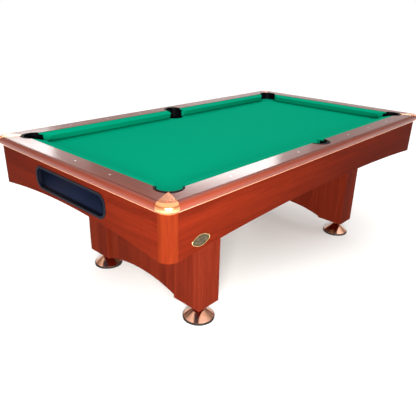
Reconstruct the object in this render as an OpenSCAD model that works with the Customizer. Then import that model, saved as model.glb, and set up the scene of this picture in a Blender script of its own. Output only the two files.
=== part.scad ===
/* [Playing area] */
// Playing length between the cushion noses
play_l = 1980; // [1700:10:2400]
// Playing width between the cushion noses
play_w = 990; // [850:5:1200]
// Height of the rail tops above the floor
table_h = 810; // [760:1:980]
// Depth of the bed below the rail tops
bed_drop = 48; // [42:1:58]
// Ball diameter that the pockets and troughs are made for
ball_d = 57.2; // [50:0.1:58]

/* [Rails and cushions] */
// Cushion depth from the nose to the wooden rail
cushion_d = 50; // [42:1:60]
// Height of the cushion nose above the bed
nose_h = 36; // [33:0.5:38]
// Width of the wooden rail top
rail_w = 105; // [96:1:126]
// Height of the rail's outer edge
rail_edge_h = 38; // [34:1:42]
// Radius of the rail's rounded outer edge
rail_nose_r = 20; // [17:0.5:24]
// How far the rail stands out over the cabinet
rail_overhang = 17; // [12:1:21]
// Radius of a casting's rounded corner
casting_r = 60; // [54:1:72]
// How far a casting stands proud of the rails
casting_proud = 1; // [0.5:0.1:2]
// Height of the metal trim strip under the rails
trim_h = 4; // [3:0.5:6]
// How far the trim strip stands out of the cabinet
trim_out = 3; // [1:0.5:4]

/* [Pockets] */
// Inner radius of a pocket
pocket_r = 55; // [50:0.5:58]
// Wall of a pocket liner
liner_wall = 3; // [2:0.5:4]
// Width of the liner's rim
rim_w = 17; // [13:0.5:20]
// Height of the liner's rim
rim_h = 12; // [9:0.5:14]
// How far the rim stands above the rail top
rim_proud = 2; // [1:0.5:5]
// How far a corner pocket lies outside the crossing of the nose lines
corner_out = 8; // [4:1:12]
// How far a side pocket lies outside the nose line
side_out = 41; // [36:1:46]
// Corner pocket mouth between the cushion tips
corner_mouth = 118; // [112:1:124]
// Side pocket mouth between the cushion tips
side_mouth = 130; // [124:1:136]
// Angle of the cushion ends at a corner pocket
corner_face_a = 142; // [138:1:145]
// Angle of the cushion ends at a side pocket
side_face_a = 104; // [100:1:108]

/* [Bed] */
// Slate thickness
slate_t = 25; // [19:1:30]
// Thickness of the bed cloth
cloth_t = 1; // [0.8:0.1:1.2]
// How far the slate reaches under the rails
slate_margin = 60; // [52:1:64]

/* [Cabinet] */
// Height of the cabinet panels at the corners
panel_h = 198; // [180:1:236]
// Thickness of the cabinet panels
panel_t = 20; // [16:1:24]
// Rise of the arched lower edge of each panel
panel_rise = 42; // [30:1:50]
// Outer radius of the rounded corner posts
post_r = 52; // [48:1:62]
// Width of the ball return bezel
return_w = 545; // [460:1:650]
// Height of the ball return bezel
return_h = 115; // [105:1:120]
// Depth of the ball return's middle below the rail tops
return_drop = 125; // [122:1:128]
// Width of the bezel's frame
bezel_w = 11; // [8:0.5:13]
// Inside depth of the ball box
box_depth = 209; // [190:1:250]

/* [Frame and pedestals] */
// Width of the long beams
beam_w = 40; // [34:1:48]
// Height of the long beams
beam_h = 120; // [100:1:122]
// Height of the long beams over the ball box
beam_end_h = 40; // [36:1:42]
// Width of the boards under the slate seams
seam_board_w = 100; // [84:1:120]
// Thickness of the boards under the slate seams
seam_board_t = 22; // [18:0.5:24]
// Length of a leg's top and bottom along the table
leg_l = 140; // [116:1:168]
// Width of a leg across the table
leg_w = 173; // [145:1:207]
// Distance from the cabinet's end face to a leg
leg_end_in = 363; // [320:1:420]
// Distance from the cabinet's side face to a leg
leg_side_in = 188; // [160:1:220]
// Height of the leg's lower face above the floor
leg_lift = 93; // [90:1:110]
// How far the arched panel is set back from the leg faces
web_set_in = 13; // [8:1:18]
// Rise of the arch between two legs
web_rise = 46; // [38:1:55]

/* [Levelling feet] */
// Radius of the rubber pad
pad_r = 81; // [68:1:97]
// Height of the rubber pad
pad_h = 8; // [6:0.5:10]
// Radius of the threaded stud
stud_r = 8; // [6.5:0.1:9.6]
// How far a foot screws out
foot_travel = 20; // [10:1:24]
// Thread pitch
thread_pitch = 2; // [1.5:0.1:2.5]

/* [Hidden] */
$fn = 64;

// Clearances
fit_gap = 0.06;
loose_gap = 0.4;
hole_gap = 0.3;
seam_gap = 0.4;
body_gap = 0.3;
ball_gap = 3;
pocket_bore_gap = 1;

// Heights
bed_z = table_h - bed_drop;
slate_top = bed_z - cloth_t;
slate_bot = slate_top - slate_t;
rail_under = table_h - rail_edge_h;
panel_top = rail_under - trim_h;
panel_bot = panel_top - panel_h;
beam_bot = slate_bot - beam_h;
seam_bot = slate_bot - seam_board_t;
beam_end_bot = slate_bot - beam_end_h;
cup_drop = 34;
cup_bot = slate_bot - cup_drop;

// Plan sizes, from the middle of the table
nose_x = play_l / 2;
nose_y = play_w / 2;
wood_x = nose_x + cushion_d;
wood_y = nose_y + cushion_d;
edge_x = wood_x + rail_w;
edge_y = wood_y + rail_w;
cab_x = edge_x - rail_overhang;
cab_y = edge_y - rail_overhang;
in_x = cab_x - panel_t;
in_y = cab_y - panel_t;
post_x = cab_x - post_r;
post_y = cab_y - post_r;
slate_x = wood_x + slate_margin;
slate_y = wood_y + slate_margin;
rail_step_gap = 2;
rail_step_u = slate_margin + rail_step_gap;
casting_x = edge_x - casting_r;
casting_y = edge_y - casting_r;
seam_x = slate_x / 3;

// Cushions
cushion_lift = 2;
cushion_top_gap = 0.5;
cushion_foot_d = 22;
cushion_foot_lift = 10;

// Pockets
corner_px = nose_x + corner_out;
corner_py = nose_y + corner_out;
side_py = nose_y + side_out;
cup_r = pocket_r + liner_wall;
rim_r = pocket_r + rim_w;
rim_top = table_h + rim_proud;
rim_bot = rim_top - rim_h;
rim_edge_r = 3.5;
rim_tip_wall = 1;
rim_tip_r = cup_r + rim_tip_wall;
corner_tip_a = 135 - asin((wood_y - corner_py) / rim_tip_r);
side_tip_a = 90 - asin((wood_y - side_py) / rim_tip_r);
corner_open_a = 132;
side_open_a = 160;

// Rail details
groove_w = 2.4;
groove_d = 1.5;
groove_in = 3;
groove_u = rail_w - rail_nose_r - groove_in;
casting_groove_pitch = 11;
casting_groove_u = groove_u - casting_groove_pitch;
casting_edge_h = 2;
casting_edge_w = rail_nose_r - rail_overhang + trim_out;
mitre_half_a = 45 - atan((casting_y - wood_y) / rail_w);
mitre_relief_r = 1.5;
sight_r = 5;
sight_t = 2;
sight_u = 40;
sight_step_x = play_l / 8;
sight_step_y = play_w / 4;

// Fasteners
rail_bolt_r = 4;
slate_bolt_gap = 1;
rail_bolt_head_r = 10;
rail_bolt_head_h = 7;
rail_bolt_in = 24;
rail_bolt_room = 1;
rail_bolt_u = rail_step_u / 2;
rail_bolts_x = [190, 520, 850];
rail_bolt_pocket_in = 75;
rail_bolts_y = [120, nose_y - rail_bolt_pocket_in];
leg_bolt_r = 5;
leg_bolt_head_r = 11;
leg_bolt_head_h = 8;
leg_bolt_in = 58;
leg_bolt_room = 2;
leg_bolt_sink = 1;
leg_bolt_pitch = 70;
leg_bolt_top = slate_bot - leg_bolt_sink;

// Legs and feet
leg_x = cab_x - leg_end_in - leg_l / 2;
leg_y = cab_y - leg_side_in - leg_w / 2;
leg_in_y = leg_y - leg_w / 2;
foot_x = leg_x;
foot_out = 20;
foot_y = leg_y + foot_out;
leg_wall = 18;
leg_base_h = 92;
leg_cap_h = 70;
web_wall = 18;
web_drop = 4;
web_top = beam_bot - web_drop;
insert_r = 14;
insert_flange_r = 20;
insert_flange_h = 3;
insert_h = 60;
stud_in = 75;
stud_top = leg_lift + stud_in;
stud_room = 5;
stud_bore_gap = 1;
cone_bot = pad_h + body_gap;
cone_edge_h = 3;
cone_in = 4;
cone_r = pad_r - cone_in;
neck_r = 14;
neck_z = 64;
neck_gap = 0.5;
neck_top = leg_lift - neck_gap;
spigot_r = 12;
spigot_h = 22;

// Ball box and troughs
box_wall = 5;
box_slope = 0.02;
box_front = in_x - 1;
box_back = box_front - box_depth - box_wall;
box_beam_gap = 4;
box_mid_y = leg_y - beam_w / 2 - box_beam_gap;
box_side_room = 10;
box_side_y = side_py + pocket_r + box_side_room;
post_gap = 3;
box_corner_y = post_y - post_gap;
box_corner_x = post_x - post_gap;
box_top_gap = 2;
box_low_top = beam_end_bot - box_top_gap;
box_floor_mid = beam_end_bot - ball_d - ball_gap - box_slope * (leg_y + beam_w / 2);
box_floor_side = box_floor_mid + box_slope * box_side_y;
box_bot = box_floor_mid - box_wall;
box_mid_gap = 5;
box_mid_top = slate_bot - box_mid_gap;
trough_wall = 3;
trough_room = 5;
trough_in_y = corner_py - pocket_r - trough_room;
trough_out_y = in_y - trough_wall;
trough_step = 2;
trough_floor = box_floor_side + trough_step;
trough_slope = 0.008;
trough_h = 36;
trough_end_room = 8;
trough_end_x = corner_px + cup_r + trough_end_room;
return_z = table_h - return_drop;
beam_step_gap = 8;
return_corner_r = 48;
bezel_flange_t = 3;
bezel_lip = 6;

// Badge
badge_end_in = 170;
badge_x = cab_x - badge_end_in;
badge_rise = 49;
badge_z = panel_bot + badge_rise;
badge_l = 96;
badge_end_r = 13;
badge_side_r = 62;
badge_half_h = 25;
badge_t = 2;

wood = "#a8321c";
wood_dark = "#8a2418";
wood_rail = "#9c6a5a";
wood_corner = "#cf4a24";
copper = "#e0a184";
green = "#05a580";

// ---- helpers ----

// Carries a shape drawn at the +X +Y corner to the corner given by two signs
module at_corner(sx, sy) {
    mirror([sx < 0 ? 1 : 0, 0, 0]) mirror([0, sy < 0 ? 1 : 0, 0]) children();
}

// All four corners
module every_corner() {
    for (sx = [-1, 1], sy = [-1, 1]) at_corner(sx, sy) children();
}

// A section (outward, up) run along Y, with its zero at x0
module run_y(length, x0) {
    translate([x0, 0, 0]) rotate([90, 0, 0]) linear_extrude(length, center = true) children();
}

// A section (outward, up) run along X, with its zero at y0
module run_x(length, y0) {
    translate([0, y0, 0]) rotate([90, 0, 90]) linear_extrude(length, center = true) children();
}

// A section (X, up) run along Y from y0 to y1
module span_y(y0, y1) {
    translate([0, y1, 0]) rotate([90, 0, 0]) linear_extrude(y1 - y0) children();
}

// A plan outline carried over the whole height of the table
module upright() {
    linear_extrude(2 * table_h) children();
}

// A box given by its two opposite corners
module block(a, b) {
    translate(a) cube(b - a);
}

// Vertical round bar or bore
module bar(x, y, z0, z1, r) {
    translate([x, y, z0]) cylinder(h = z1 - z0, r = r);
}

// A rectangle with round corners, centred
module round_rect(w, h, r) {
    square([w - 2 * r, h], center = true);
    square([w, h - 2 * r], center = true);
    for (sx = [-1, 1], sy = [-1, 1]) translate([sx * (w / 2 - r), sy * (h / 2 - r)]) circle(r);
}

// Distance from a pocket's middle out to the middle of its rim's outer edge, which
// narrows the rim from its full width at the back to its tips
function rim_shift(tip_a) = (rim_r * rim_r - rim_tip_r * rim_tip_r) / (2 * (rim_r - rim_tip_r * cos(tip_a)));

// The corner pocket and the side pocket of one quarter: middle, outward angle, rim shift
function pocket_spots() = [
    [corner_px, corner_py, 45, rim_shift(corner_tip_a)],
    [0, side_py, 90, rim_shift(side_tip_a)]];

// ---- bed ----

// Bores of the pockets through the slate and cloth
module pocket_bores() {
    every_corner() {
        bar(corner_px, corner_py, 0, table_h, cup_r + pocket_bore_gap);
        bar(0, side_py, 0, table_h, cup_r + pocket_bore_gap);
        block([-cup_r - pocket_bore_gap, side_py, 0], [cup_r + pocket_bore_gap, slate_y + 1, table_h]);
    }
}

// Bores for the rail bolts
module rail_bolt_bores(r, z0, z1) {
    every_corner() {
        for (x = rail_bolts_x) bar(x, wood_y + rail_bolt_u, z0, z1, r);
        for (y = rail_bolts_y) bar(wood_x + rail_bolt_u, y, z0, z1, r);
    }
}

module slate_slab(x0, x1) {
    color("slategray") difference() {
        block([x0, -slate_y, slate_bot], [x1, slate_y, slate_top]);
        pocket_bores();
        rail_bolt_bores(rail_bolt_r + slate_bolt_gap, 0, table_h);
    }
}

module slate_return() { slate_slab(-slate_x, -seam_x - seam_gap / 2); }
module slate_middle() { slate_slab(-seam_x + seam_gap / 2, seam_x - seam_gap / 2); }
module slate_head() { slate_slab(seam_x + seam_gap / 2, slate_x); }

module bed_cloth() {
    color(green) difference() {
        block([-slate_x, -slate_y, slate_top], [slate_x, slate_y, bed_z]);
        pocket_bores();
        rail_bolt_bores(rail_bolt_r + slate_bolt_gap, 0, table_h);
    }
}

// ---- cushions ----

// Cushion section, with the wood at zero and the nose pointing inward
module cushion_section() {
    nose_r = 3;
    tip_z = bed_z + nose_h;
    polygon([[0, bed_z + cushion_lift], [0, table_h - cushion_top_gap], [nose_r - cushion_d, tip_z + nose_r],
        [nose_r - cushion_d, tip_z - nose_r], [-cushion_foot_d, bed_z + cushion_foot_lift]]);
    translate([nose_r - cushion_d, tip_z]) circle(nose_r);
}

// How far a cushion's back edge runs past its tip
function back_run(angle) = cushion_d / tan(180 - angle);

module cushion_end() {
    tip = nose_y - corner_mouth / sqrt(2);
    back = tip + back_run(corner_face_a);
    color(green) difference() {
        intersection() {
            run_y(2 * back, wood_x) cushion_section();
            upright() polygon([[nose_x, -tip], [wood_x, -back], [wood_x, back], [nose_x, tip]]);
        }
        for (s = [-1, 1]) bar(corner_px, s * corner_py, 0, table_h, cup_r + loose_gap);
    }
}

module cushion_side() {
    tip0 = side_mouth / 2;
    tip1 = nose_x - corner_mouth / sqrt(2);
    back0 = tip0 - back_run(side_face_a);
    back1 = tip1 + back_run(corner_face_a);
    color(green) difference() {
        intersection() {
            run_x(2 * wood_x, wood_y) cushion_section();
            upright() polygon([[tip0, nose_y], [back0, wood_y], [back1, wood_y], [tip1, nose_y]]);
        }
        bar(corner_px, corner_py, 0, table_h, cup_r + loose_gap);
        bar(0, side_py, 0, table_h, cup_r + loose_gap);
    }
}

// ---- rails, castings and trim ----

// Rail section with its zero at the cushion; proud swells the top and the edge,
// drop lowers the outer underside
module rail_section(proud, drop) {
    nose_c = rail_w - rail_nose_r;
    difference() {
        union() {
            translate([0, bed_z]) square([rail_step_u, table_h + proud - bed_z]);
            translate([0, rail_under - drop]) square([nose_c, rail_edge_h + proud + drop]);
            intersection() {
                translate([nose_c, table_h - rail_nose_r]) circle(rail_nose_r + proud);
                translate([0, rail_under - drop]) square([2 * rail_w, 2 * rail_edge_h]);
            }
            if (drop > 0) translate([nose_c, rail_under - drop]) square([casting_edge_w, drop + casting_edge_h]);
        }
        translate([groove_u, table_h + proud - groove_d]) square([groove_w, 2 * groove_d]);
    }
}

// Bores for the cups of the liners
module liner_bores() {
    every_corner() for (p = pocket_spots()) bar(p[0], p[1], 0, 2 * table_h, cup_r + loose_gap);
}

// Recesses for the rims of the liners
module rim_seats() {
    every_corner() for (p = pocket_spots())
        bar(p[0] + p[3] * cos(p[2]), p[1] + p[3] * sin(p[2]), rim_bot, 2 * table_h, rim_r - p[3] + loose_gap);
}

// Places of the sights in the rail tops
module every_sight() {
    every_corner() {
        for (i = [1, 2, 3]) translate([i * sight_step_x, wood_y + sight_u, table_h - sight_t]) children();
        for (i = [0, 1]) translate([wood_x + sight_u, i * sight_step_y, table_h - sight_t]) children();
    }
}

// Everything that is cut out of the rails
module rail_cuts() {
    liner_bores();
    rim_seats();
    every_sight() cylinder(h = 2 * sight_t, r = sight_r);
    every_corner() bar(wood_x, wood_y, 0, 2 * table_h, mitre_relief_r);
    rail_bolt_bores(rail_bolt_r + hole_gap, 0, bed_z + rail_bolt_in + rail_bolt_room);
}

// Plan of an end rail and of a side rail, cut where the castings meet them
module rail_end_plan() {
    polygon([[wood_x, -wood_y], [edge_x, -casting_y], [edge_x, casting_y], [wood_x, wood_y]]);
}

module rail_side_plan() {
    polygon([[-wood_x, wood_y], [wood_x, wood_y], [casting_x, edge_y], [-casting_x, edge_y]]);
}

module rail_end() {
    color(wood_rail) difference() {
        intersection() {
            run_y(2 * edge_y, wood_x) rail_section(0, 0);
            upright() rail_end_plan();
        }
        rail_cuts();
    }
}

module rail_side() {
    color(wood_rail) difference() {
        intersection() {
            run_x(2 * edge_x, wood_y) rail_section(0, 0);
            upright() rail_side_plan();
        }
        rail_cuts();
    }
}

// Casting section: the rail's, with a second groove and an edge down to the trim
module casting_section() {
    difference() {
        rail_section(casting_proud, trim_h);
        translate([casting_groove_u, table_h + casting_proud - groove_d]) square([groove_w, 2 * groove_d]);
    }
}

// Metal casting: a wedge between the rail ends and a rounded corner
module corner_casting() {
    far = 2 * edge_x;
    color(copper) difference() {
        union() {
            intersection() {
                run_y(far, wood_x) casting_section();
                upright() polygon([[wood_x, wood_y], [edge_x, casting_y], [far, casting_y], [casting_x, casting_y]]);
            }
            intersection() {
                run_x(far, wood_y) casting_section();
                upright() polygon([[wood_x, wood_y], [casting_x, casting_y], [casting_x, far], [casting_x, edge_y]]);
            }
            translate([casting_x, casting_y, 0]) rotate_extrude(angle = 90) intersection() {
                translate([casting_r - rail_w, 0]) casting_section();
                square([rail_w, 2 * table_h]);
            }
        }
        liner_bores();
    }
}

// Metal strips under the rails, as long as the rails are there
module trim_strips() {
    color(copper) for (s = [-1, 1]) {
        at_corner(s, 1) intersection() {
            block([in_x, -edge_y, panel_top], [cab_x + trim_out, edge_y, rail_under]);
            upright() rail_end_plan();
        }
        at_corner(1, s) intersection() {
            block([-edge_x, in_y, panel_top], [edge_x, cab_y + trim_out, rail_under]);
            upright() rail_side_plan();
        }
    }
}

// ---- pocket liners ----

// Half section of a plate of radius r with a rounded upper edge
module rim_plate(r) {
    translate([0, rim_bot]) square([r, rim_h - rim_edge_r]);
    translate([0, rim_bot]) square([r - rim_edge_r, rim_h]);
    translate([r - rim_edge_r, rim_top - rim_edge_r]) circle(rim_edge_r);
}

// Half section of all that lies outside a pocket, with the rim's inner edge rounded
module rim_outside() {
    translate([pocket_r, rim_bot]) square([2 * rim_r, rim_h - rim_edge_r]);
    translate([pocket_r + rim_edge_r, rim_bot]) square([2 * rim_r, rim_h]);
    translate([pocket_r + rim_edge_r, rim_top - rim_edge_r]) circle(rim_edge_r);
}

// Liner of the pocket at spot p, open toward the table over open_a degrees
module pocket_liner(p, open_a) {
    chord = cup_r * cos(open_a / 2);
    color("#15171b") difference() {
        union() {
            difference() {
                bar(p[0], p[1], cup_bot, rim_bot + 1, cup_r);
                translate([p[0], p[1], slate_top]) rotate([0, 0, p[2] + 180])
                    translate([chord, -2 * rim_r, 0]) cube([rim_r, 4 * rim_r, table_h]);
            }
            difference() {
                intersection() {
                    translate([p[0] + p[3] * cos(p[2]), p[1] + p[3] * sin(p[2]), 0])
                        rotate_extrude() rim_plate(rim_r - p[3]);
                    translate([p[0], p[1], 0]) rotate_extrude() rim_outside();
                }
                block([-wood_x, -wood_y, rim_bot - 1], [wood_x, wood_y, 2 * table_h]);
            }
        }
        bar(p[0], p[1], cup_bot - 1, 2 * table_h, pocket_r);
    }
}

// The corner rim is notched, outside its cup, for the point of the casting
module corner_liner() {
    back = loose_gap / sin(mitre_half_a) / sqrt(2);
    difference() {
        pocket_liner(pocket_spots()[0], corner_open_a);
        difference() {
            translate([-back, -back, 0]) upright()
                polygon([[wood_x, wood_y], [edge_x, casting_y], [edge_x, edge_y], [casting_x, edge_y]]);
            bar(corner_px, corner_py, 0, 2 * table_h, cup_r);
        }
    }
}

module side_liner() { pocket_liner(pocket_spots()[1], side_open_a); }

// ---- cabinet ----

// Facets of a full circle as large as the arches belong to, so that they look round
arch_fn = 1440;

// Radius of the arch that rises by rise over half on each side
function arch_r(half, rise) = (half * half + rise * rise) / (2 * rise);

module panel_side() {
    r = arch_r(post_x, panel_rise);
    color(wood) difference() {
        block([-post_x, in_y, panel_bot], [post_x, cab_y, panel_top]);
        translate([0, in_y - 1, panel_bot + panel_rise - r]) rotate([-90, 0, 0])
            cylinder(h = panel_t + 2, r = r, $fn = arch_fn);
    }
}

module panel_end() {
    r = arch_r(post_y, panel_rise);
    color(wood) difference() {
        block([in_x, -post_y, panel_bot], [cab_x, post_y, panel_top]);
        translate([in_x - 1, 0, panel_bot + panel_rise - r]) rotate([0, 90, 0])
            cylinder(h = panel_t + 2, r = r, $fn = arch_fn);
    }
}

// Sleeve outline of the ball return, standing in the return end
module return_hole(inset, depth0, depth1) {
    translate([depth0, 0, return_z]) rotate([90, 0, 90])
        linear_extrude(depth1 - depth0) round_rect(return_w - 2 * inset, return_h - 2 * inset, return_corner_r - inset);
}

module panel_return_end() {
    difference() {
        at_corner(-1, 1) panel_end();
        return_hole(bezel_lip, -cab_x - 1, -in_x + 1);
    }
}

module return_bezel() {
    color("#101216") difference() {
        union() {
            return_hole(0, -cab_x - bezel_flange_t, -cab_x);
            return_hole(bezel_lip + fit_gap, -cab_x, -in_x);
        }
        return_hole(bezel_w, -cab_x - bezel_flange_t - 1, -in_x + 1);
    }
}

module corner_post() {
    room = slate_margin - (post_x - wood_x) + post_gap;
    color(wood_corner) difference() {
        translate([post_x, post_y, panel_bot]) rotate_extrude(angle = 90) square([post_r, panel_h]);
        block([post_x - 1, post_y - 1, slate_bot - post_gap], [post_x + room, post_y + room, panel_top + 1]);
    }
}

// ---- ball return ----

// Plan of the ball box; the wall insets every side except the open front
module box_plan(inset) {
    front = inset > 0 ? box_front + 1 : box_front;
    translate([-front, inset - box_corner_y]) square([front - box_back - inset, 2 * (box_corner_y - inset)]);
    translate([inset - box_corner_x, inset - box_side_y])
        square([box_corner_x - box_back - 2 * inset, 2 * (box_side_y - inset)]);
}

module ball_box() {
    color("#161b33") difference() {
        union() {
            translate([0, 0, box_bot]) linear_extrude(box_low_top - box_bot) box_plan(0);
            block([-box_back - box_wall, -box_mid_y, box_bot], [-box_back, box_mid_y, box_mid_top]);
        }
        intersection() {
            upright() box_plan(box_wall);
            rotate([90, 0, 90]) linear_extrude(4 * table_h, center = true) polygon([
                [-box_side_y, box_floor_side], [0, box_floor_mid], [box_side_y, box_floor_side],
                [box_side_y, table_h], [-box_side_y, table_h]]);
        }
        every_corner() block([box_back - 1, trough_in_y, trough_floor],
            [box_back + box_wall + 1, box_side_y - box_wall, table_h]);
    }
}

// A bar that follows the trough's fall, from y0 to y1 and from the floor line by z0 to z1
module falling_bar(y0, y1, z0, z1) {
    fall = trough_slope * (trough_end_x + box_back);
    span_y(y0, y1) polygon([[-box_back, trough_floor + z0], [trough_end_x, trough_floor + fall + z0],
        [trough_end_x, trough_floor + fall + z1], [-box_back, trough_floor + z1]]);
}

module ball_trough() {
    fall = trough_slope * (trough_end_x + box_back);
    color("#2a2c30") union() {
        falling_bar(trough_in_y - trough_wall, trough_out_y + trough_wall, -trough_wall, 0);
        falling_bar(trough_in_y - trough_wall, trough_in_y, -trough_wall, trough_h);
        falling_bar(trough_out_y, trough_out_y + trough_wall, -trough_wall, trough_h);
        block([trough_end_x - trough_wall, trough_in_y - trough_wall, trough_floor + fall - trough_wall],
            [trough_end_x, trough_out_y + trough_wall, trough_floor + fall + trough_h]);
    }
}

// ---- frame ----

module leg_bolt_bores(z0, z1, r) {
    every_corner() for (s = [-1, 1]) bar(leg_x + s * leg_bolt_pitch / 2, leg_y, z0, z1, r);
}

module long_beam() {
    step_x = beam_step_gap - box_back;
    color("burlywood") difference() {
        span_y(leg_y - beam_w / 2, leg_y + beam_w / 2) polygon([[-in_x, slate_bot], [-in_x, beam_end_bot],
            [step_x, beam_end_bot], [step_x, beam_bot], [in_x, beam_bot], [in_x, slate_bot]]);
        for (s = [-1, 1]) block([s * seam_x - seam_board_w / 2, 0, seam_bot], [s * seam_x + seam_board_w / 2,
            in_y, table_h]);
        leg_bolt_bores(0, table_h, leg_bolt_r + hole_gap);
        leg_bolt_bores(leg_bolt_top - leg_bolt_head_h, table_h, leg_bolt_head_r + leg_bolt_room);
    }
}

module seam_board(s) {
    color("burlywood") block([s * seam_x - seam_board_w / 2, -in_y, seam_bot],
        [s * seam_x + seam_board_w / 2, in_y, slate_bot]);
}

module leg() {
    color(wood_dark) difference() {
        block([leg_x - leg_l / 2, leg_y - leg_w / 2, leg_lift], [leg_x + leg_l / 2, leg_y + leg_w / 2, beam_bot]);
        block([leg_x - leg_l / 2 + leg_wall, leg_y - leg_w / 2 + leg_wall, leg_lift + leg_base_h],
            [leg_x + leg_l / 2 - leg_wall, leg_y + leg_w / 2 - leg_wall, beam_bot - leg_cap_h]);
        bar(foot_x, foot_y, leg_lift - 1, leg_lift + insert_h, insert_r);
        bar(foot_x, foot_y, leg_lift - 1, leg_lift + insert_flange_h, insert_flange_r);
        bar(foot_x, foot_y, leg_lift - 1, stud_top + stud_room, stud_r + stud_bore_gap);
        leg_bolt_bores(beam_bot - leg_bolt_in - leg_bolt_room, table_h, leg_bolt_r + hole_gap);
    }
}

module arch_web() {
    r = arch_r(leg_in_y, web_rise);
    x0 = leg_x - leg_l / 2 + web_set_in;
    x1 = leg_x + leg_l / 2 - web_set_in;
    color(wood_dark) difference() {
        block([x0, -leg_in_y, leg_lift], [x1, leg_in_y, web_top]);
        translate([x0 - 1, 0, leg_lift + web_rise - r]) rotate([0, 90, 0]) cylinder(h = leg_l, r = r, $fn = arch_fn);
        block([x0 + web_wall, web_wall - leg_in_y, leg_lift + web_rise + web_wall],
            [x1 - web_wall, leg_in_y - web_wall, web_top - web_wall]);
    }
}

// ---- feet ----

module foot_inserts() {
    color("silver") every_corner() difference() {
        union() {
            bar(foot_x, foot_y, leg_lift, leg_lift + insert_flange_h, insert_flange_r);
            bar(foot_x, foot_y, leg_lift, leg_lift + insert_h, insert_r);
        }
        bar(foot_x, foot_y, leg_lift - 1, leg_lift + insert_h + 1, stud_r + fit_gap);
    }
}

module foot_pad() {
    color("#1a1a1a") translate([foot_x, foot_y, 0]) {
        cylinder(h = pad_h, r = pad_r);
        cylinder(h = pad_h + spigot_h, r = spigot_r);
    }
}

// Polished cone with its stud, turning on the pad's spigot
module foot_cone() {
    color(copper) translate([foot_x, foot_y, 0]) difference() {
        union() {
            translate([0, 0, cone_bot]) cylinder(h = cone_edge_h, r = cone_r);
            translate([0, 0, cone_bot + cone_edge_h]) cylinder(h = neck_z - cone_bot - cone_edge_h, r1 = cone_r,
                r2 = neck_r);
            translate([0, 0, neck_z]) cylinder(h = neck_top - neck_z, r = neck_r);
            cylinder(h = stud_top, r = stud_r);
        }
        translate([0, 0, -1]) cylinder(h = 1 + pad_h + spigot_h + body_gap, r = spigot_r + fit_gap);
    }
}

// ---- small pieces and fasteners ----

module sights() {
    color("ivory") every_sight() cylinder(h = sight_t, r = sight_r);
}

// Plain oval plate on the front panel
module badge() {
    color("goldenrod") translate([-badge_x, -cab_y, badge_z]) rotate([90, 0, 0]) linear_extrude(badge_t) {
        intersection() {
            for (s = [-1, 1]) translate([s * (badge_l / 2 - badge_end_r), 0]) circle(badge_l);
            translate([0, badge_half_h - badge_side_r]) circle(badge_side_r);
            translate([0, badge_side_r - badge_half_h]) circle(badge_side_r);
        }
        for (s = [-1, 1]) translate([s * (badge_l / 2 - badge_end_r), 0]) circle(badge_end_r);
    }
}

module rail_bolts() {
    color("gray") {
        rail_bolt_bores(rail_bolt_r, slate_bot - rail_bolt_head_h, bed_z + rail_bolt_in);
        rail_bolt_bores(rail_bolt_head_r, slate_bot - rail_bolt_head_h, slate_bot);
    }
}

module leg_bolts() {
    color("gray") {
        leg_bolt_bores(beam_bot - leg_bolt_in, leg_bolt_top, leg_bolt_r);
        leg_bolt_bores(leg_bolt_top - leg_bolt_head_h, leg_bolt_top, leg_bolt_head_r);
    }
}

slate_return();
slate_middle();
slate_head();
bed_cloth();
at_corner(-1, 1) cushion_end();  // cushion_return_end
cushion_end();  // cushion_head_end
at_corner(-1, -1) cushion_side();  // cushion_front_return
at_corner(1, -1) cushion_side();  // cushion_front_head
at_corner(-1, 1) cushion_side();  // cushion_back_return
cushion_side();  // cushion_back_head
at_corner(-1, 1) rail_end();  // rail_return_end
rail_end();  // rail_head_end
at_corner(1, -1) rail_side();  // rail_front
rail_side();  // rail_back
at_corner(-1, -1) corner_casting();  // casting_return_front
at_corner(-1, 1) corner_casting();  // casting_return_back
at_corner(1, -1) corner_casting();  // casting_head_front
corner_casting();  // casting_head_back
at_corner(-1, -1) corner_liner();  // liner_return_front
at_corner(-1, 1) corner_liner();  // liner_return_back
at_corner(1, -1) corner_liner();  // liner_head_front
corner_liner();  // liner_head_back
at_corner(1, -1) side_liner();  // liner_side_front
side_liner();  // liner_side_back
trim_strips();
panel_return_end();
panel_end();  // panel_head_end
at_corner(1, -1) panel_side();  // panel_front
panel_side();  // panel_back
at_corner(-1, -1) corner_post();  // post_return_front
at_corner(-1, 1) corner_post();  // post_return_back
at_corner(1, -1) corner_post();  // post_head_front
corner_post();  // post_head_back
return_bezel();
ball_box();
at_corner(1, -1) ball_trough();  // trough_front
ball_trough();  // trough_back
at_corner(1, -1) long_beam();  // beam_front
long_beam();  // beam_back
seam_board(-1);  // seam_board_return
seam_board(1);  // seam_board_head
at_corner(-1, -1) leg();  // leg_return_front
at_corner(-1, 1) leg();  // leg_return_back
at_corner(1, -1) leg();  // leg_head_front
leg();  // leg_head_back
at_corner(-1, 1) arch_web();  // arch_web_return
arch_web();  // arch_web_head
foot_inserts();
at_corner(-1, -1) foot_pad();  // pad_return_front
at_corner(-1, 1) foot_pad();  // pad_return_back
at_corner(1, -1) foot_pad();  // pad_head_front
foot_pad();  // pad_head_back
at_corner(-1, -1) foot_cone();  // cone_return_front
at_corner(-1, 1) foot_cone();  // cone_return_back
at_corner(1, -1) foot_cone();  // cone_head_front
foot_cone();  // cone_head_back
sights();
badge();
rail_bolts();
leg_bolts();
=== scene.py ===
import math

import bmesh
import bpy
from mathutils import Matrix, Vector
from mathutils.geometry import delaunay_2d_cdt


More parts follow.
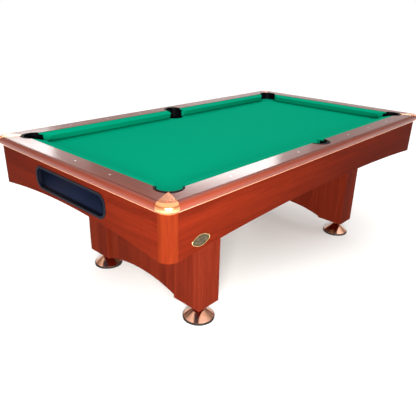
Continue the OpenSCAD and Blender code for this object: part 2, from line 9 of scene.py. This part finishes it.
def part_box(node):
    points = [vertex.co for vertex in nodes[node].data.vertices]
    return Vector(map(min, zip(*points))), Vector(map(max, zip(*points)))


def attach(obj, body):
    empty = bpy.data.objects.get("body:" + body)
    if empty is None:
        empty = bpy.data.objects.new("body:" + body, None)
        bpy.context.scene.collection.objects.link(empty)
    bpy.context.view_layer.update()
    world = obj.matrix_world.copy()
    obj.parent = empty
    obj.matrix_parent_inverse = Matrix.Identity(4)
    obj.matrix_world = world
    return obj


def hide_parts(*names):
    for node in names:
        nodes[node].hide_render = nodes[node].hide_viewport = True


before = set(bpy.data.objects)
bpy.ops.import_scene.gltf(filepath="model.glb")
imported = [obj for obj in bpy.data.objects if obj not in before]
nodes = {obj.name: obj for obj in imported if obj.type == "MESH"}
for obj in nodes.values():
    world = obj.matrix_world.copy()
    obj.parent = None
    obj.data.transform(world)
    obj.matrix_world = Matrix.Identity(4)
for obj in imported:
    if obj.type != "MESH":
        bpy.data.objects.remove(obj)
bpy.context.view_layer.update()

MM = 0.001
WELD = 0.01 * MM
ENDS = ("return", "head")
SIDES = ("front", "back")

# ---- camera and light ----

CAMERA_AT = Vector((-2.07142, -1.6817, 1.40875))
CAMERA_TURN = math.radians(47.583)
CAMERA_DIP = math.radians(23.298)
CAMERA_ROLL = math.radians(-1.438)
CAMERA_LENS = 39.46
CAMERA_SENSOR = 36
CAMERA_FAR = 60


def add_camera():
    """The photograph's viewing angle."""
    ahead = Vector((math.sin(CAMERA_TURN) * math.cos(CAMERA_DIP),
                    math.cos(CAMERA_TURN) * math.cos(CAMERA_DIP), -math.sin(CAMERA_DIP)))
    right = ahead.cross(Vector((0, 0, 1))).normalized()
    down = ahead.cross(right)
    c, s = math.cos(CAMERA_ROLL), math.sin(CAMERA_ROLL)
    right, down = right * c + down * s, down * c - right * s
    data = bpy.data.cameras.new("camera")
    data.lens = CAMERA_LENS
    data.sensor_width = CAMERA_SENSOR
    data.clip_end = CAMERA_FAR
    camera = bpy.data.objects.new("camera", data)
    bpy.context.scene.collection.objects.link(camera)
    turn = Matrix((right, -down, -ahead)).transposed().to_4x4()
    camera.matrix_world = Matrix.Translation(CAMERA_AT) @ turn
    bpy.context.scene.camera = camera


def softbox(name, at, target, size, power, colour=(1, 1, 1)):
    """A rectangular studio light that the camera doesn't see."""
    data = bpy.data.lights.new(name, "AREA")
    data.shape = "RECTANGLE"
    data.size, data.size_y = size
    data.energy = power
    data.color = colour
    light = bpy.data.objects.new(name, data)
    bpy.context.scene.collection.objects.link(light)
    aim = Vector(target) - Vector(at)
    light.matrix_world = Matrix.Translation(at) @ aim.to_track_quat("-Z", "Y").to_matrix().to_4x4()
    light.visible_camera = False


# ---- materials ----

def rgb(code):
    """Linear colour of a hex code."""
    parts = [int(code[i:i + 2], 16) / 255 for i in (1, 3, 5)]
    return tuple(c / 12.92 if c <= 0.04045 else ((c + 0.055) / 1.055) ** 2.4 for c in parts) + (1,)


class Finish:
    """A node material under construction. Its patterns use object coordinates, in metres."""

    def __init__(self, name, **sockets):
        self.material = bpy.data.materials.new(name)
        self.material.use_nodes = True
        self.tree = self.material.node_tree
        self.tree.nodes.clear()
        self.shader = self.tree.nodes.new("ShaderNodeBsdfPrincipled")
        out = self.tree.nodes.new("ShaderNodeOutputMaterial")
        self.link(self.shader.outputs[0], out.inputs[0])
        self.place = self.tree.nodes.new("ShaderNodeTexCoord").outputs["Object"]
        self.bumps = None
        for key, value in sockets.items():
            self.shader.inputs[key.replace("_", " ")].default_value = value

    def link(self, a, b):
        self.tree.links.new(a, b)

    def feed(self, socket, value):
        if isinstance(value, bpy.types.NodeSocket):
            self.link(value, socket)
        else:
            socket.default_value = value

    def scaled(self, scale, shift=(0, 0, 0), turn=(0, 0, 0)):
        node = self.tree.nodes.new("ShaderNodeMapping")
        self.link(self.place, node.inputs["Vector"])
        node.inputs["Scale"].default_value = scale
        node.inputs["Location"].default_value = shift
        node.inputs["Rotation"].default_value = turn
        return node.outputs[0]

    def noise(self, scale, detail=4, rough=0.55, distort=0, at=None):
        node = self.tree.nodes.new("ShaderNodeTexNoise")
        self.link(at or self.place, node.inputs["Vector"])
        node.inputs["Scale"].default_value = scale
        node.inputs["Detail"].default_value = detail
        node.inputs["Roughness"].default_value = rough
        node.inputs["Distortion"].default_value = distort
        return node.outputs[0]

    def wave(self, scale, distort, axis="X", at=None, detail=2):
        node = self.tree.nodes.new("ShaderNodeTexWave")
        node.bands_direction = axis
        self.link(at or self.place, node.inputs["Vector"])
        node.inputs["Scale"].default_value = scale
        node.inputs["Distortion"].default_value = distort
        node.inputs["Detail"].default_value = detail
        return node.outputs["Fac"]

    def cells(self, scale, at=None):
        node = self.tree.nodes.new("ShaderNodeTexVoronoi")
        self.link(at or self.place, node.inputs["Vector"])
        node.inputs["Scale"].default_value = scale
        return node.outputs["Distance"]

    def math(self, kind, a, b=0.0):
        node = self.tree.nodes.new("ShaderNodeMath")
        node.operation = kind
        self.feed(node.inputs[0], a)
        self.feed(node.inputs[1], b)
        return node.outputs[0]

    def ramp(self, value, stops):
        node = self.tree.nodes.new("ShaderNodeValToRGB")
        self.link(value, node.inputs[0])
        while len(node.color_ramp.elements) < len(stops):
            node.color_ramp.elements.new(0.5)
        for element, (place, colour) in zip(node.color_ramp.elements, stops):
            element.position = place
            element.color = colour if isinstance(colour, tuple) else (colour,) * 3 + (1,)
        return node.outputs[0]

    def spread(self, value, low, high):
        """A noise value carried to the range from low to high."""
        node = self.tree.nodes.new("ShaderNodeMapRange")
        self.link(value, node.inputs[0])
        node.inputs[1].default_value = 0.3
        node.inputs[2].default_value = 0.7
        node.inputs[3].default_value = low
        node.inputs[4].default_value = high
        return node.outputs[0]

    def mix(self, share, a, b, kind="MIX"):
        node = self.tree.nodes.new("ShaderNodeMix")
        node.data_type = "RGBA"
        node.blend_type = kind
        self.feed(node.inputs[0], share)
        self.feed(node.inputs[6], a)
        self.feed(node.inputs[7], b)
        return node.outputs[2]

    def colour(self, value):
        self.feed(self.shader.inputs["Base Color"], value)

    def rough(self, value, low, high):
        self.feed(self.shader.inputs["Roughness"], self.spread(value, low, high))

    def bump(self, height, depth, strength=1.0):
        node = self.tree.nodes.new("ShaderNodeBump")
        self.link(height, node.inputs["Height"])
        node.inputs["Distance"].default_value = depth
        node.inputs["Strength"].default_value = strength
        if self.bumps:
            self.link(self.bumps, node.inputs["Normal"])
        self.bumps = node.outputs[0]
        self.feed(self.shader.inputs["Normal"], self.bumps)


def grain_scale(along, length, across):
    """Scale of a pattern stretched along one axis: cycles per metre along it and across it."""
    return tuple(length if axis == along else across for axis in "XYZ")


WOOD_GLOSS = (0.36, 0.48)


def wood(name, along, dark, middle, light, shift, band, coat=0.0, ior=0.006):
    """Lacquered wood with fibres, broad bands of tone and fine dark pores, all running along one axis."""
    f = Finish(name, Specular_IOR_Level=ior, Coat_Weight=coat, Coat_Roughness=0.17)
    far = (shift, shift * 1.7, shift * 0.6)
    bands = f.noise(1, 3, 0.5, 0.6, f.scaled(grain_scale(along, 0.55, band), far))
    fibres = f.noise(1, 9, 0.62, 0.9, f.scaled(grain_scale(along, 1.7, 46), far))
    fine = f.noise(1, 5, 0.6, 0, f.scaled(grain_scale(along, 9, 420), far))
    pores = f.noise(1, 2, 0.5, 0, f.scaled(grain_scale(along, 26, 1300), far))
    tone = f.math("ADD", f.math("MULTIPLY", bands, 0.5), f.math("MULTIPLY", fibres, 0.5))
    base = f.ramp(tone, [(0.3, rgb(dark)), (0.5, rgb(middle)), (0.7, rgb(light))])
    streaks = f.mix(0.3, base, f.ramp(fine, [(0.36, 0.45), (0.6, 1.0)]), "MULTIPLY")
    f.colour(f.mix(0.5, streaks, f.ramp(pores, [(0.3, 0.35), (0.42, 1.0)]), "MULTIPLY"))
    f.rough(fibres, *WOOD_GLOSS)
    f.bump(fine, 0.03 * MM, 0.5)
    f.bump(f.ramp(pores, [(0.3, 0.0), (0.42, 1.0)]), 0.05 * MM, 0.4)
    return f.material


def rail_wood(name, along, shift):
    """The rail tops' brown wood under a thick clear lacquer."""
    return wood(name, along, "#5c1c0b", "#6e2814", "#7e341e", shift, 9.0, 0.72, 0.1)


def cabinet_wood(name, along, shift):
    """The red-brown wood of the cabinet's panels."""
    return wood(name, along, "#400f06", "#551709", "#671e0d", shift, 6.0)


def post_wood():
    """The corner posts' lighter, oranger wood."""
    return wood("finish_posts", "Z", "#4e1608", "#5a1c0a", "#68240e", 2.3, 9.0)


def leg_wood(name, shift):
    """The wood of the legs and their webs, with its grain upright."""
    return wood(name, "Z", "#4a150b", "#601e10", "#702817", shift, 11.0)


def pale_wood(name, along, shift):
    """Plain sawn frame timber, not lacquered."""
    f = Finish(name, Specular_IOR_Level=0.25)
    far = (shift, shift, shift)
    rings = f.noise(1, 4, 0.55, 0.8, f.scaled(grain_scale(along, 0.7, 22), far))
    fibres = f.noise(1, 8, 0.6, 0.4, f.scaled(grain_scale(along, 4, 160), far))
    saw = f.noise(1, 2, 0.5, 0, f.scaled(grain_scale(along, 320, 6), far))
    base = f.ramp(rings, [(0.3, rgb("#b98d5c")), (0.5, rgb("#cfa873")), (0.7, rgb("#b08252"))])
    f.colour(f.mix(0.45, base, f.ramp(fibres, [(0.3, 0.55), (0.7, 1.0)]), "MULTIPLY"))
    f.rough(fibres, 0.62, 0.8)
    f.bump(fibres, 0.15 * MM, 0.6)
    f.bump(saw, 0.12 * MM, 0.5)
    return f.material


def woven_cloth():
    """Napped worsted cloth: a twill of crossed yarns, heathered and matt."""
    f = Finish("finish_cloth", Specular_IOR_Level=0.005)
    warp, weft = (f.wave(310, 0.6, axis, f.scaled((1, 1, 1), turn=(0, 0, 0.35))) for axis in "XY")
    twill = f.math("MULTIPLY", warp, weft)
    nap = f.noise(1, 6, 0.7, 0, f.scaled((260, 900, 900)))
    clouds = f.noise(7, 4, 0.6)
    heather = f.mix(nap, rgb("#008563"), rgb("#009b78"))
    patchy = f.mix(f.spread(clouds, 0, 0.5), heather, rgb("#00906e"))
    f.colour(f.mix(f.math("MULTIPLY", twill, 0.12), patchy, rgb("#00a27e")))
    f.rough(nap, 0.82, 0.95)
    f.bump(twill, 0.12 * MM, 0.5)
    f.bump(nap, 0.1 * MM, 0.35)
    return f.material


def copper(name, light, dark, metal, polish, brush, coat=0.0, ring=False):
    """Copper-toned metal with fine brushed lines, slightly tarnished in places."""
    f = Finish(name, Metallic=metal, Coat_Weight=coat, Coat_Roughness=0.12)
    lines = f.noise(1, 4, 0.6, 0, f.scaled(brush))
    stain = f.noise(16, 5, 0.6, 0.5)
    f.colour(f.mix(f.spread(stain, 0.0, 1.0), rgb(light), rgb(dark)))
    f.rough(lines, *polish)
    f.bump(lines, 0.01 * MM, 0.12)
    if ring:
        f.shader.inputs["Anisotropic"].default_value = 0.85
        tangent = f.tree.nodes.new("ShaderNodeTangent")
        tangent.direction_type = "RADIAL"
        tangent.axis = "Z"
        f.link(tangent.outputs[0], f.shader.inputs["Tangent"])
    return f.material


def moulded(name, dark, light, rough, pebble, depth, shine=0.4):
    """Moulded plastic or rubber with a fine pebbled skin."""
    f = Finish(name, Specular_IOR_Level=shine)
    cells = f.cells(pebble)
    haze = f.noise(11, 5, 0.6)
    f.colour(f.mix(f.spread(haze, 0, 1), rgb(dark), rgb(light)))
    f.rough(haze, *rough)
    f.bump(cells, depth, 0.6)
    return f.material


def honed_slate():
    """Grey slate with faint layers, ground flat."""
    f = Finish("finish_slate", Specular_IOR_Level=0.35)
    clouds = f.noise(5, 8, 0.6, 1.0)
    layers = f.noise(1, 6, 0.65, 0.5, f.scaled((10, 10, 340)))
    base = f.mix(f.spread(clouds, 0, 1), rgb("#4b5056"), rgb("#6a6f74"))
    f.colour(f.mix(0.4, base, f.ramp(layers, [(0.3, 0.5), (0.7, 1.0)]), "MULTIPLY"))
    f.rough(clouds, 0.5, 0.72)
    f.bump(layers, 0.25 * MM, 0.6)
    return f.material


def zinc_steel():
    """Zinc-plated steel with a faint spangle."""
    f = Finish("finish_steel", Metallic=1.0)
    spangle = f.cells(160)
    lines = f.noise(1, 3, 0.5, 0, f.scaled((500, 500, 40)))
    f.colour(f.mix(f.spread(spangle, 0, 1), rgb("#9a9ea3"), rgb("#c4c7c9")))
    f.rough(lines, 0.28, 0.45)
    f.bump(lines, 0.03 * MM, 0.4)
    return f.material


def mother_of_pearl():
    """The sights' clouded pearl under a clear coat."""
    f = Finish("finish_pearl", Specular_IOR_Level=0.6, Coat_Weight=0.5, Coat_Roughness=0.08)
    clouds = f.noise(300, 4, 0.6, 2.0)
    f.colour(f.ramp(clouds, [(0.3, rgb("#bdb2a4")), (0.45, rgb("#cfc8be")), (0.55, rgb("#b6bdc0")),
                             (0.7, rgb("#c9bcb6"))]))
    f.rough(clouds, 0.18, 0.3)
    f.bump(clouds, 0.02 * MM, 0.3)
    return f.material


def aged_brass(name, dark, light, rough):
    """Brass with a patina between two tones."""
    f = Finish(name, Metallic=1.0)
    patina = f.noise(90, 6, 0.65, 0.8)
    lines = f.noise(1, 3, 0.5, 0, f.scaled((60, 900, 900)))
    f.colour(f.mix(f.spread(patina, 0, 1), rgb(dark), rgb(light)))
    f.rough(lines, *rough)
    f.bump(lines, 0.02 * MM, 0.4)
    return f.material


def pale_floor():
    """A plain studio floor."""
    f = Finish("finish_floor", Specular_IOR_Level=0.0)
    f.colour(rgb("#fbfbfa"))
    return f.material


# ---- building meshes ----

def new_piece(name, bm, material, body, replaced=()):
    """A smooth mesh object from a bmesh, riding on a body."""
    bmesh.ops.recalc_face_normals(bm, faces=bm.faces)
    mesh = bpy.data.meshes.new(name)
    bm.to_mesh(mesh)
    bm.free()
    for face in mesh.polygons:
        face.use_smooth = True
    piece = bpy.data.objects.new(name, mesh)
    bpy.context.scene.collection.objects.link(piece)
    mesh.materials.append(material)
    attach(piece, body)
    if replaced:
        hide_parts(*replaced)
    return piece


def lofted(bm, rings, closed=True):
    """Quads between successive rings of points; returns the vertex rings."""
    made = [[bm.verts.new(p) for p in ring] for ring in rings]
    for a, b in zip(made, made[1:]):
        n = len(a)
        for i in range(n if closed else n - 1):
            j = (i + 1) % n
            bm.faces.new((a[i], a[j], b[j], b[i]))
    return made


def outlines(node, pick):
    """Closed outlines round the faces of a CAD node that pick accepts, as lists of points."""
    bm = bmesh.new()
    bm.from_mesh(nodes[node].data)
    bmesh.ops.remove_doubles(bm, verts=bm.verts, dist=WELD)
    bm.normal_update()
    kept = {f for f in bm.faces if pick(f)}
    following = {}
    for f in kept:
        for loop in f.loops:
            others = [g for g in loop.edge.link_faces if g is not f and g in kept]
            if not others:
                following[loop.vert] = loop.link_loop_next.vert
    found = []
    while following:
        start = next(iter(following))
        path, at = [], start
        while at in following:
            path.append(at.co.copy())
            at = following.pop(at)
        found.append(path)
    bm.free()
    return found


# ---- bed cloth ----

CLOTH_GRID = 40 * MM
CLOTH_CURL = 0.5 * MM
CLOTH_TUCK = 13 * MM
CLOTH_TURNS = 3
KEY_DIGITS = 6
MITRE_LIMIT = 0.3


def plan_key(p):
    """A plan place rounded, to find the vertex that stands there."""
    return round(p.x, KEY_DIGITS), round(p.y, KEY_DIGITS)


def void_side(ring, i):
    """Plan direction from a ring's corner into the void, scaled so that its sides move by one."""
    before = (ring[i] - ring[i - 1]).to_2d().normalized()
    after = (ring[(i + 1) % len(ring)] - ring[i]).to_2d().normalized()
    a, b = Vector((before.y, -before.x)), Vector((after.y, -after.x))
    return (a + b) / max(MITRE_LIMIT, 1 + a.dot(b))


def build_bed_cloth():
    """One sheet over the three slates. All round, and at each pocket, it curls over the slate's
    edge and is drawn down beside it."""
    low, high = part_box("bed_cloth")
    top = high.z
    rings = outlines("bed_cloth", lambda f: f.normal.z > 0.9)
    rings.sort(key=lambda r: -max(p.length for p in r))
    points, edges = [], []
    for ring in rings:
        first = len(points)
        points += [p.to_2d() for p in ring]
        edges += [(first + i, first + (i + 1) % len(ring)) for i in range(len(ring))]
    nx, ny = (int((high[k] - low[k]) / CLOTH_GRID) for k in (0, 1))
    for i in range(1, nx):
        for j in range(1, ny):
            points.append(Vector((low.x + i * (high.x - low.x) / nx, low.y + j * (high.y - low.y) / ny)))
    verts, _, faces, _, _, _ = delaunay_2d_cdt(points, edges, [], 1, 1e-6)
    bm = bmesh.new()
    made = [bm.verts.new((v.x, v.y, top)) for v in verts]
    for f in faces:
        bm.faces.new([made[i] for i in f])
    at = {plan_key(v.co): v for v in made}
    turns = [0.5 * math.pi * k / CLOTH_TURNS for k in range(1, CLOTH_TURNS + 1)]
    steps = [(CLOTH_CURL * math.sin(t), CLOTH_CURL * (1 - math.cos(t))) for t in turns]
    steps.append((CLOTH_CURL, CLOTH_TUCK))
    for ring in rings:
        last = [at[plan_key(p)] for p in ring]
        ways = [void_side(ring, i) for i in range(len(ring))]
        for out, down in steps:
            row = [bm.verts.new((p.x + w.x * out, p.y + w.y * out, top - down)) for p, w in zip(ring, ways)]
            for i in range(len(ring)):
                j = (i + 1) % len(ring)
                bm.faces.new((last[i], row[i], row[j], last[j]))
            last = row
    return bm


# ---- cushions ----

CUSHION_SAMPLES = 26
CUSHION_STATIONS = 48
CUSHION_FOLD = 2.4 * MM
CUSHION_CROWN = 0.35 * MM
CUSHION_TUCK = 1.1 * MM
CUSHION_TUCK_W = 2.0 * MM
CUSHION_NOSE_R = 3.0 * MM
CUSHION_REST = 0.1 * MM
CUSHION_FOOT_D = 31 * MM
CUSHION_FOOT_RISE = 3 * MM
CUSHION_FOOT_SOFT = 1.6 * MM
CUSHION_END_STEPS = 5
CUSHION_CROWDING = 0.8
CUSHION_SKIN = 0.1 * MM


def crossings(node, across, along, value):
    """Lowest and highest place along one axis where a CAD node's edges cross a plane on another."""
    mesh = nodes[node].data
    found = []
    for edge in mesh.edges:
        a, b = (mesh.vertices[i].co for i in edge.vertices)
        da, db = abs(a[across]) - value, abs(b[across]) - value
        if (da <= 0) != (db <= 0):
            found.append(a[along] + (b[along] - a[along]) * da / (da - db))
    return min(found), max(found)


def build_cushion(node, across, material):
    """Cloth wrapped tight over a rubber strip, folded round its ends, with its tuck at the rail."""
    low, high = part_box(node)
    along = 1 - across
    side = 1 if low[across] + high[across] > 0 else -1
    wood_line = max(abs(low[across]), abs(high[across]))
    nose_line = min(abs(low[across]), abs(high[across]))
    depth = wood_line - nose_line
    foot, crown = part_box("bed_cloth")[1].z + CUSHION_REST, high.z
    tips = [v.co.z for v in nodes[node].data.vertices
            if abs(abs(v.co[across]) - nose_line) < 2 * CUSHION_SKIN]
    nose = sum(tips) / len(tips)
    round_at = depth - CUSHION_NOSE_R
    knee, knee_z = CUSHION_FOOT_D, foot + CUSHION_FOOT_RISE

    def upper(d):
        """Height of the top at a distance from the wood."""
        if d > round_at:
            return nose + math.sqrt(max(0, CUSHION_NOSE_R ** 2 - (d - round_at) ** 2))
        t = d / round_at
        z = crown + (nose + CUSHION_NOSE_R - crown) * t + CUSHION_CROWN * math.sin(math.pi * t)
        return z - CUSHION_TUCK * math.exp(-(d / CUSHION_TUCK_W) ** 2 * 3)

    def lower(d):
        """Height of the underside at a distance from the wood."""
        if d > round_at:
            return nose - math.sqrt(max(0, CUSHION_NOSE_R ** 2 - (d - round_at) ** 2))
        bottom = nose - CUSHION_NOSE_R
        a = foot + (knee_z - foot) * d / knee
        b = knee_z + (bottom - knee_z) * (d - knee) / (round_at - knee)
        soft = 1 / (1 + math.exp(-(d - knee) / CUSHION_FOOT_SOFT))
        return a + (b - a) * soft

    depths = [depth * math.sin(0.5 * math.pi * (i / CUSHION_SAMPLES) ** CUSHION_CROWDING)
              for i in range(CUSHION_SAMPLES + 1)]
    ends = [crossings(node, across, along, wood_line - min(max(d, CUSHION_SKIN), depth - CUSHION_SKIN))
            for d in depths]

    def ring(share, inset, push):
        """The section at a share of the length, shrunk by inset; push carries it out to the end face."""
        points = []
        for pick in (range(CUSHION_SAMPLES + 1), range(CUSHION_SAMPLES - 1, -1, -1)):
            is_top = pick.step == 1
            for i in pick:
                d = depths[i] * (depth - inset) / depth
                mid = (upper(depths[i]) + lower(depths[i])) / 2
                half = max(0.0, (upper(depths[i]) - lower(depths[i])) / 2 - inset)
                e0, e1 = ends[i][0] + push, ends[i][1] - push
                p = [0, 0, mid + half if is_top else mid - half]
                p[across] = side * (wood_line - d)
                p[along] = e0 + (e1 - e0) * share
                points.append(Vector(p))
        return points

    turns = [0.5 * math.pi * k / CUSHION_END_STEPS for k in range(CUSHION_END_STEPS)]
    folds = [(CUSHION_FOLD * (1 - math.sin(t)), CUSHION_FOLD * (1 - math.cos(t))) for t in turns]
    rings = [ring(0, *fold) for fold in folds]
    rings += [ring(k / CUSHION_STATIONS, 0, CUSHION_FOLD) for k in range(CUSHION_STATIONS + 1)]
    rings += [ring(1, *fold) for fold in reversed(folds)]
    bm = bmesh.new()
    made = lofted(bm, rings)
    n = len(made[0])
    for cap in (made[0], made[-1]):
        for i in range(CUSHION_SAMPLES):
            quad = list(dict.fromkeys((cap[i], cap[i + 1], cap[(n - i - 1) % n], cap[(n - i) % n])))
            if len(quad) > 2 and not bm.faces.get(quad):
                bm.faces.new(quad)
    bmesh.ops.remove_doubles(bm, verts=bm.verts, dist=0.1 * WELD)
    name = node.replace("cushion", "wrapped_cushion")
    piece = new_piece(name, bm, material, "table", [node])


# ---- badge ----

# Steps from the badge's edge inward, in millimetres: distance in, height
BADGE_RINGS = ((0.0, 0.0), (0.0, 1.1), (0.5, 1.8), (1.3, 2.0), (2.6, 1.7), (3.2, 1.0), (3.6, 0.9), (8.0, 0.9))
BADGE_DISH = 1.5 * MM
BADGE_DISH_STEPS = (0, 0.35, 0.7)
BADGE_BACK = 0.5 * MM
BADGE_FIELD_IN = 3.3


def inside(point, ring):
    """Whether a flat point lies inside a closed ring."""
    hit = False
    for a, b in zip(ring, ring[1:] + ring[:1]):
        if (a.y > point.y) != (b.y > point.y):
            if point.x < a.x + (point.y - a.y) * (b.x - a.x) / (b.y - a.y):
                hit = not hit
    return hit


def build_badge(rim, field):
    """An oval plate with a rolled brass rim round a darker dished field."""
    low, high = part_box("badge")
    ring = max(outlines("badge", lambda f: f.normal.y < -0.9), key=len)
    centre = (low + high) / 2
    back = high.y
    size = Vector((high.x - low.x, 0, high.z - low.z)) / 2

    def inset(p, amount):
        return Vector((centre.x + (p.x - centre.x) * (1 - amount * MM / size.x),
                       0, centre.z + (p.z - centre.z) * (1 - amount * MM / size.z)))

    bm = bmesh.new()
    rings = []
    for amount, height in BADGE_RINGS:
        rings.append([inset(p, amount) + Vector((0, back - height * MM, 0)) for p in ring])
    made = lofted(bm, rings)
    bm.faces.new(made[0])
    middle = bm.verts.new((centre.x, back - BADGE_DISH, centre.z))
    inner = lofted(bm, [[v.co + (middle.co - v.co) * t for v in made[-1]] for t in BADGE_DISH_STEPS])
    for i in range(len(ring)):
        j = (i + 1) % len(ring)
        bm.faces.new((inner[-1][i], inner[-1][j], middle))
    bmesh.ops.remove_doubles(bm, verts=bm.verts, dist=0.1 * WELD)
    piece = new_piece("badge_plate", bm, rim, "table", ["badge"])
    piece.data.materials.append(field)
    edge = [Vector((p.x, p.z)) for p in (inset(q, BADGE_FIELD_IN) for q in ring)]
    for face in piece.data.polygons:
        c = face.center
        if c.y < back - BADGE_BACK and inside(Vector((c.x, c.z)), edge):
            face.material_index = 1


# ---- scene ----

def paint(name, material):
    """Gives a CAD node its finish."""
    slots = nodes[name].data.materials
    slots.clear()
    slots.append(material)


EASE_ANGLE = math.radians(35)
EASE_WOOD = 0.8 * MM
EASE_HARD = 0.3 * MM


def ease_edges(name, width):
    """A small round on the sharp edges of a CAD node."""
    modifiers = nodes[name].modifiers
    weld = modifiers.new("weld", "WELD")
    weld.merge_threshold = WELD
    bevel = modifiers.new("ease", "BEVEL")
    bevel.width = width
    bevel.segments = 2
    bevel.limit_method = "ANGLE"
    bevel.angle_limit = EASE_ANGLE
    bevel.use_clamp_overlap = True
    weighted = modifiers.new("shade", "WEIGHTED_NORMAL")
    weighted.weight = 100


def at_corners(stem):
    """The four node names that start with a stem and end with a corner."""
    return ["%s_%s_%s" % (stem, end, side) for end in ENDS for side in SIDES]


def dress_frame():
    """Gives every CAD node its finish and its eased edges; returns the cloth's finish."""
    cloth = woven_cloth()
    black = moulded("finish_black_plastic", "#040507", "#08090d", (0.35, 0.5), 900, 0.05 * MM, 0.04)
    navy = moulded("finish_box_plastic", "#26304c", "#323e60", (0.4, 0.55), 700, 0.06 * MM, 0.15)
    mouth = moulded("finish_bezel_plastic", "#080a13", "#0d111d", (0.4, 0.5), 800, 0.05 * MM, 0.06)
    rubber = moulded("finish_rubber", "#121213", "#1f1f20", (0.6, 0.75), 500, 0.1 * MM)
    cast = copper("finish_castings", "#fca46e", "#ef9660", 0.95, (0.16, 0.24), (90, 90, 90), 0.6)
    strip = copper("finish_trim", "#ffc09a", "#f6ac84", 0.6, (0.25, 0.35), (6, 6, 900))
    spun = copper("finish_spun", "#e6b096", "#bf8468", 1.0, (0.1, 0.17), (30, 30, 1500), ring=True)
    steel, slate, pearl = zinc_steel(), honed_slate(), mother_of_pearl()
    legs = leg_wood("finish_legs", 1.1)
    webs = leg_wood("finish_webs", 4.7)
    for stem, finish in (("casting", cast), ("cone", spun), ("pad", rubber), ("liner", black),
                         ("post", post_wood()), ("leg", legs)):
        for n in at_corners(stem):
            paint(n, finish)
    for n, finish in (("liner_side_front", black), ("liner_side_back", black), ("return_bezel", mouth),
                      ("slate_return", slate), ("slate_middle", slate), ("slate_head", slate),
                      ("foot_inserts", steel), ("rail_bolts", steel), ("leg_bolts", steel),
                      ("trim_strips", strip), ("ball_box", navy), ("sights", pearl)):
        paint(n, finish)
    for end in ENDS:
        paint("arch_web_" + end, webs)
        paint("rail_%s_end" % end, rail_wood("finish_rail_%s" % end, "Y", 3.1 + len(end)))
        paint("panel_%s_end" % end, cabinet_wood("finish_panel_%s" % end, "Y", 1.3 + len(end)))
        paint("seam_board_" + end, pale_wood("finish_board_" + end, "Y", len(end) * 1.9))
    for side in SIDES:
        paint("rail_" + side, rail_wood("finish_rail_" + side, "X", 5.9 + len(side)))
        paint("panel_" + side, cabinet_wood("finish_panel_" + side, "X", 7.3 + len(side)))
        paint("beam_" + side, pale_wood("finish_beam_" + side, "X", len(side) * 2.3))
        paint("trough_" + side, navy)
    for n in nodes:
        if n.startswith(("leg_r", "leg_h", "arch_web", "panel_", "post_", "beam_", "seam_board")):
            ease_edges(n, EASE_WOOD)
        elif n.startswith(("casting_", "return_bezel")):
            ease_edges(n, EASE_HARD)
    return cloth


# Stops of the dome from its rim, at a half, to its top: place, brightness, warmth
SKY = ((0.5, 1.0, 0.0), (0.56, 1.0, 0.0), (0.66, 0.38, 0.2),
       (0.72, 0.38, 0.2), (0.9, 1.6, 0.0), (1.0, 1.6, 0.0))
SKY_SCALE = 1.6
FLOOR_HALF = 60


def soft_dome():
    """A studio dome: bright overhead and along the horizon, dimmer between."""
    world = bpy.data.worlds.new("studio")
    bpy.context.scene.world = world
    world.use_nodes = True
    tree = world.node_tree
    place = tree.nodes.new("ShaderNodeTexCoord")
    split = tree.nodes.new("ShaderNodeSeparateXYZ")
    tree.links.new(place.outputs["Generated"], split.inputs[0])
    half = tree.nodes.new("ShaderNodeMath")
    half.operation = "MULTIPLY_ADD"
    tree.links.new(split.outputs["Z"], half.inputs[0])
    half.inputs[1].default_value = 0.5
    half.inputs[2].default_value = 0.5
    ramp = tree.nodes.new("ShaderNodeValToRGB")
    tree.links.new(half.outputs[0], ramp.inputs[0])
    while len(ramp.color_ramp.elements) < len(SKY):
        ramp.color_ramp.elements.new(0.5)
    for element, (spot, level, warmth) in zip(ramp.color_ramp.elements, SKY):
        element.position = spot
        element.color = tuple(level / SKY_SCALE * (1 - warmth * k) for k in (0, 0.5, 1)) + (1,)
    back = tree.nodes["Background"]
    tree.links.new(ramp.outputs[0], back.inputs[0])
    back.inputs[1].default_value = SKY_SCALE


def light_scene():
    """The dome, the softboxes, whose mirror images make the glare on the rails, and the floor."""
    soft_dome()
    softbox("key", (-1.9, -1.7, 0.85), (-1.1, -0.6, 0.65), (0.9, 0.8), 92, (1, 0.97, 0.93))
    softbox("fill", (-3.4, -2.9, 1.5), (0, 0, 0.7), (1.4, 1.0), 60)
    softbox("glare_end", (0.72, 4.3, 2.08), (-1.09, 0.35, 0.81), (0.7, 0.34), 6)
    softbox("glare_end_edge", (1.3, 4.3, 2.25), (-1.09, 0.0, 0.81), (0.7, 0.4), 0.8)
    softbox("glare_side", (2.6, 2.25, 2.22), (-0.65, -0.5, 0.81), (1.4, 0.4), 16)
    softbox("glare_side_edge", (3.5, 1.95, 2.0), (-0.2, -0.5, 0.81), (0.8, 0.4), 1)
    softbox("glare_corner", (1.7, 2.5, 2.52), (-1.09, -0.6, 0.81), (0.4, 0.35), 0.25)
    floor = bpy.data.meshes.new("floor")
    bm = bmesh.new()
    bmesh.ops.create_grid(bm, x_segments=8, y_segments=8, size=FLOOR_HALF)
    bm.to_mesh(floor)
    bm.free()
    ground = bpy.data.objects.new("floor", floor)
    bpy.context.scene.collection.objects.link(ground)
    floor.materials.append(pale_floor())
    bpy.context.scene.view_settings.view_transform = "Standard"


add_camera()
light_scene()
cloth = dress_frame()

sheet = new_piece("stretched_cloth", build_bed_cloth(), cloth, "table", ["bed_cloth"])

for end in ENDS:
    build_cushion("cushion_%s_end" % end, 0, cloth)
    for side in SIDES:
        build_cushion("cushion_%s_%s" % (side, end), 1, cloth)

build_badge(aged_brass("finish_badge_rim", "#b59a5e", "#d6bd84", (0.22, 0.35)),
            aged_brass("finish_badge_field", "#18140e", "#776b54", (0.35, 0.5)))
